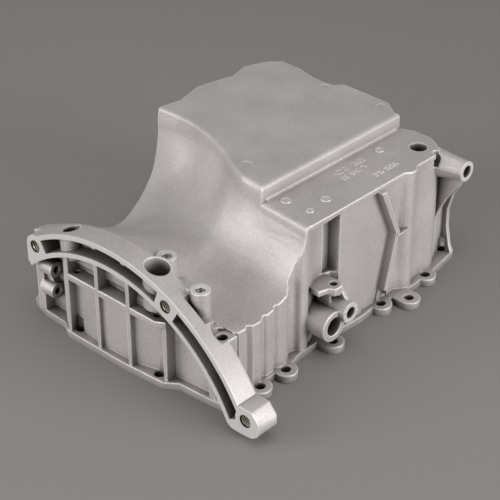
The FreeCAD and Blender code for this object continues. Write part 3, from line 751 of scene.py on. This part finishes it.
def cut_faces(mesh):
    """Material number of each face: 0 as cast, 1 milled flat, 2 drilled."""
    centre, normal = face_arrays(mesh)
    index = np.zeros(len(centre), np.int32)
    x, y, z = centre.T
    arch = np.hypot(x, z - CRANK_Z) > FACE_IN
    index[(y < NEAR) & (normal[:, 1] < -FACING) & arch] = 1
    index[(z < NEAR) & (normal[:, 2] < -FACING)] = 1
    index[(abs(z - BOSS_TOP_Z) < NEAR) & (normal[:, 2] > FACING)] = 1
    for level in RING_FACES_X:
        index[(abs(x - level) < NEAR) & (normal[:, 0] > FACING)] = 1
    for hx, hz, length in M12_HOLES:
        inside = np.hypot(x - hx, z - hz) < M12_BORE_R + BORE_SLACK
        index[inside & (y < length + M12_POINT) & (normal[:, 1] > -FACING)] = 2
    shallow, deep = M8_DEPTHS
    for hx, hy in M8_HOLES:
        inside = np.hypot(x - hx, y - hy) < M8_BORE_R + BORE_SLACK
        index[inside & (z > BOSS_TOP_Z - deep) & (z < BOSS_TOP_Z - shallow)] = 2
    return index


def looking(place, aim):
    """Rotation of a lamp or a camera at a place that looks at the aim."""
    return (Vector(aim) - Vector(place)).to_track_quat("-Z", "Y").to_euler()


class PanCastingProps(bpy.types.PropertyGroup):
    cast_dark: bpy.props.FloatVectorProperty(
        name="Cast dark", description="Darker clouds of the cast skin", subtype="COLOR", size=3, min=0, max=1,
        default=linear("#afabaa")[:3])
    cast_light: bpy.props.FloatVectorProperty(
        name="Cast light", description="Lighter clouds of the cast skin", subtype="COLOR", size=3,
        min=0, max=1, default=linear("#bbb7b6")[:3])
    # painted highlight: the rim colour lightens rounded convex edges, standing in for light caught on their
    # rounding
    rim: bpy.props.FloatVectorProperty(
        name="Rim", description="Lighter rounded edges where the shot strikes most", subtype="COLOR", size=3,
        min=0, max=1, default=linear("#d6d2d1")[:3])
    # painted shade: the colour toward which corners and pockets are darkened, standing in for the shade in
    # them
    painted_shade: bpy.props.FloatVectorProperty(
        name="Pocket", description="Tint of corners and pockets that the shot reaches less", subtype="COLOR",
        size=3, min=0, max=1, default=linear("#4c423f")[:3])
    # how far from a wall the painted shade reaches
    painted_shade_reach: bpy.props.FloatProperty(
        name="Pocket reach", description="How far from a wall the skin still darkens", subtype="DISTANCE",
        unit="LENGTH", default=0.021, min=0.002, max=0.05)
    grain: bpy.props.FloatProperty(
        name="Grain", description="Size of the drawn grain", subtype="DISTANCE", unit="LENGTH",
        default=0.0011, min=0.0002, max=0.005)
    cast_edge: bpy.props.FloatProperty(
        name="Edge round", description="Radius of the rounded look of cast edges", subtype="DISTANCE",
        unit="LENGTH", default=0.0022, min=0.0001, max=0.005)
    floor_grid: bpy.props.FloatProperty(
        name="Floor grid", description="Distance in millimetres between the cuts that refine the floor",
        default=4.0, min=1.0, max=20.0)
    cut_dark: bpy.props.FloatVectorProperty(
        name="Milled dark", description="Darker arcs of milled faces", subtype="COLOR", size=3, min=0, max=1,
        default=linear("#b2b0af")[:3])
    cut_light: bpy.props.FloatVectorProperty(
        name="Milled light", description="Lighter arcs of milled faces", subtype="COLOR", size=3,
        min=0, max=1, default=linear("#c6c4c3")[:3])
    # a plain, slightly lighter grey for the raised marks and figures
    raised_mark_grey: bpy.props.FloatVectorProperty(
        name="Rubbed", description="Raised figures rubbed by handling", subtype="COLOR", size=3, min=0, max=1,
        default=linear("#b9b5b4")[:3])
    # painted shade: the dark colour of the threads' grooves stands in for the shadow down in them
    groove_shade: bpy.props.FloatVectorProperty(
        name="Groove", description="Oily bottom of the threads", subtype="COLOR", size=3, min=0, max=1,
        default=linear("#3c342e")[:3])
    thread: bpy.props.FloatVectorProperty(
        name="Thread", description="Cut metal inside tapped holes", subtype="COLOR", size=3, min=0, max=1,
        default=linear("#e0d8cc")[:3])


class PanThreadProps(bpy.types.PropertyGroup):
    m12_pitch: bpy.props.FloatProperty(
        name="M12 pitch", description="Distance in millimetres between turns in the gearbox face's holes",
        default=1.75, min=0.5, max=3.0)
    m8_pitch: bpy.props.FloatProperty(
        name="M8 pitch", description="Distance in millimetres between turns in the bracket bosses",
        default=1.25, min=0.5, max=3.0)


class PanMarkProps(bpy.types.PropertyGroup):
    rise: bpy.props.FloatProperty(
        name="Mark rise", description="Height in millimetres of round casting marks",
        default=0.45, min=0.1, max=1.5)


class PanStageProps(bpy.types.PropertyGroup):
    backdrop: bpy.props.FloatVectorProperty(
        name="Backdrop", description="Colour of the studio paper under and behind the pan", subtype="COLOR",
        size=3, min=0, max=1, default=linear("#787574")[:3])
    lens: bpy.props.FloatProperty(
        name="Lens", description="Focal length of the camera in millimetres",
        default=108.0, min=35.0, max=200.0)
    key_power: bpy.props.FloatProperty(
        name="Key power", description="Power of the large front light", subtype="POWER", unit="POWER",
        default=34.0, min=0.0, max=500.0)
    air: bpy.props.FloatProperty(
        name="Air light", description="Strength of the even light from all round",
        default=0.5, min=0.0, max=2.0)


class OBJECT_OT_pan_casting(bpy.types.Operator):
    """Shows the casting with a blasted skin, a smooth floor, small bores and milled faces"""
    bl_idname = "object.pan_casting"
    bl_label = "Casting"

    def execute(self, context):
        props = context.scene.pan_casting
        made = welded_copy(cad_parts[NODE], "casting_skin")
        cut_small_bores(made)
        refine_floor(made, props.floor_grid)
        mesh = made.data
        mesh.materials.clear()
        for mat in (cast_aluminium(props), milled_aluminium(props), drilled_aluminium(props)):
            mesh.materials.append(mat)
        mesh.polygons.foreach_set("material_index", cut_faces(mesh))
        mesh.polygons.foreach_set("use_smooth", np.ones(len(mesh.polygons), bool))
        mesh.set_sharp_from_angle(angle=math.radians(SKIN_SHARP))
        weigh = made.modifiers.new("weighted_normals", "WEIGHTED_NORMAL")
        weigh.keep_sharp = True
        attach(made, BODY)
        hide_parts(NODE)
        return {"FINISHED"}


class OBJECT_OT_pan_threads(bpy.types.Operator):
    """Cuts the threads of the three gearbox screws and the two bracket screws"""
    bl_idname = "object.pan_threads"
    bl_label = "Threads"

    def execute(self, context):
        props = context.scene.pan_threads
        mats = [bpy.data.materials["tapped_aluminium_thread"], painted_groove_shade(context.scene.pan_casting)]
        cut, sides, rows, start, groove_shade = M12_THREAD
        for name, (x, z, length) in zip(("left", "middle", "right"), M12_HOLES):
            local, faces = thread_sleeve(M12_BORE_R, cut, props.m12_pitch, length, sides, rows)
            points = np.stack([x + local[:, 0], local[:, 2] + start, z + local[:, 1]], 1)
            made = own_piece("gearbox_thread_" + name, points, faces, mats, smooth=False)
            centre = face_arrays(made.data)[0]
            # painted shade: faces deep in the groove take the dark groove colour
            deep = np.hypot(centre[:, 0] - x, centre[:, 2] - z) > M12_BORE_R - groove_shade
            made.data.polygons.foreach_set("material_index", deep.astype(np.int32))
        cut, sides, rows, start, groove_shade = M8_THREAD
        for name, (x, y) in zip(("left", "right"), M8_HOLES):
            local, faces = thread_sleeve(M8_BORE_R, cut, props.m8_pitch, M8_LENGTH, sides, rows)
            points = np.stack([x + local[:, 0], y + local[:, 1], BOSS_TOP_Z - start - local[:, 2]], 1)
            made = own_piece("bracket_thread_" + name, points, faces, mats, smooth=False)
            centre = face_arrays(made.data)[0]
            # painted shade: faces deep in the groove take the dark groove colour
            deep = np.hypot(centre[:, 0] - x, centre[:, 1] - y) > M8_BORE_R - groove_shade
            made.data.polygons.foreach_set("material_index", deep.astype(np.int32))
        return {"FINISHED"}


class OBJECT_OT_pan_web(bpy.types.Operator):
    """Adds the small web at the knee of the bent rib: a flat plate over the three corners of KNEE_WEB"""
    bl_idname = "object.pan_web"
    bl_label = "Knee web"

    def execute(self, context):
        points = np.array([(x, y, z) for z in KNEE_WEB_Z for x, y in KNEE_WEB])
        quads = np.array([(0, 1, 4, 3), (1, 2, 5, 4), (2, 0, 3, 5)])
        tris = np.array([(0, 2, 1), (3, 4, 5)])
        joined_piece("knee_web", [(points, quads, tris)],
                     [bpy.data.materials["cast_aluminium_shot_blasted"]], smooth=False)
        return {"FINISHED"}


class OBJECT_OT_pan_marks(bpy.types.Operator):
    """Raises the round marks of the ejectors and the rows of plain numbers"""
    bl_idname = "object.pan_marks"
    bl_label = "Casting marks"

    def execute(self, context):
        rise = context.scene.pan_marks.rise
        mats = [raised_mark_aluminium(context.scene.pan_casting)]
        discs = []
        outer, inner, foot = MARK_RING
        for x, y, r in ROUND_MARKS:
            profile = ((0, -MARK_FOOT), (r, -MARK_FOOT), (r, 0.0), (r - outer, rise), (r - inner, rise),
                       (r - foot, MARK_INSIDE), (0, MARK_INSIDE))
            discs.append(turned(profile, MARK_SIDES, "z", (x, y, LEDGE_Z)))
        joined_piece("ejector_marks", discs, mats)
        bars = []
        for x, y, size, text in NUMBER_ROWS:
            bars += number_row(x, y, size, text)
        joined_piece("cast_numbers", bars, mats, smooth=False)
        return {"FINISHED"}


class OBJECT_OT_pan_stage(bpy.types.Operator):
    """Floor, studio light and camera"""
    bl_idname = "object.pan_stage"
    bl_label = "Stage"

    def execute(self, context):
        props = context.scene.pan_stage
        # matt uncoated studio paper: one even grey with hardly any gloss
        mat, _, shader = new_material("studio_paper_matt")
        shader.inputs["Base Color"].default_value = opaque(props.backdrop)
        shader.inputs["Roughness"].default_value = 0.95
        shader.inputs["Specular IOR Level"].default_value = 0.1
        side = PAPER_HALF
        corners = np.array([(-side, -side, 0), (side, -side, 0), (side, side, 0), (-side, side, 0)])
        floor = place_mesh("studio_floor", corners, np.array([(0, 1, 2, 3)]), [mat])
        world = bpy.data.worlds.new("studio_air")
        context.scene.world = world
        world.use_nodes = True
        tree = world.node_tree
        tree.nodes.clear()
        air = node(tree, "ShaderNodeBackground", (("Color", linear("#f1f0f0")), ("Strength", props.air)))
        node(tree, "ShaderNodeOutputWorld", links=((0, air.outputs[0]),))
        for name, place, size, share in LAMPS:
            lamp = bpy.data.lights.new(name, "AREA")
            lamp.shape = "SQUARE"
            lamp.size = size
            lamp.energy = props.key_power * share
            made = bpy.data.objects.new(name, lamp)
            made.location = place
            made.rotation_euler = looking(place, LAMP_AIM)
            context.scene.collection.objects.link(made)
        cam = bpy.data.cameras.new("photo_camera")
        cam.lens = props.lens
        cam.sensor_width = SENSOR_WIDE
        cam.clip_start = CAMERA_NEAREST
        eye = bpy.data.objects.new("photo_camera", cam)
        eye.location = CAMERA_AT
        eye.rotation_euler = looking(CAMERA_AT, CAMERA_AIM)
        context.scene.collection.objects.link(eye)
        context.scene.camera = eye
        context.scene.view_settings.view_transform = "Standard"
        return {"FINISHED"}


class VIEW3D_PT_oil_pan(bpy.types.Panel):
    """Lists the pan's pieces and their settings in the sidebar"""
    bl_label = "Oil pan"
    bl_space_type = "VIEW_3D"
    bl_region_type = "UI"
    bl_category = "Oil pan"

    def draw(self, context):
        for operator in OPERATORS:
            self.layout.operator(operator.bl_idname)
        for name in GROUPS:
            group = getattr(context.scene, name)
            for prop in group.__annotations__:
                self.layout.prop(group, prop)


OPERATORS = (OBJECT_OT_pan_casting, OBJECT_OT_pan_threads, OBJECT_OT_pan_web, OBJECT_OT_pan_marks,
             OBJECT_OT_pan_stage)
GROUPS = {
    "pan_casting": PanCastingProps,
    "pan_threads": PanThreadProps,
    "pan_marks": PanMarkProps,
    "pan_stage": PanStageProps,
}
CLASSES = tuple(GROUPS.values()) + OPERATORS + (VIEW3D_PT_oil_pan,)


def register():
    for cls in CLASSES:
        bpy.utils.register_class(cls)
    for name, cls in GROUPS.items():
        setattr(bpy.types.Scene, name, bpy.props.PointerProperty(type=cls))


def unregister():
    for name in GROUPS:
        delattr(bpy.types.Scene, name)
    for cls in reversed(CLASSES):
        bpy.utils.unregister_class(cls)


def main():
    register()
    bpy.ops.object.pan_casting()
    bpy.ops.object.pan_threads()
    bpy.ops.object.pan_web()
    bpy.ops.object.pan_marks()
    bpy.ops.object.pan_stage()


if __name__ == "__main__":
    main()
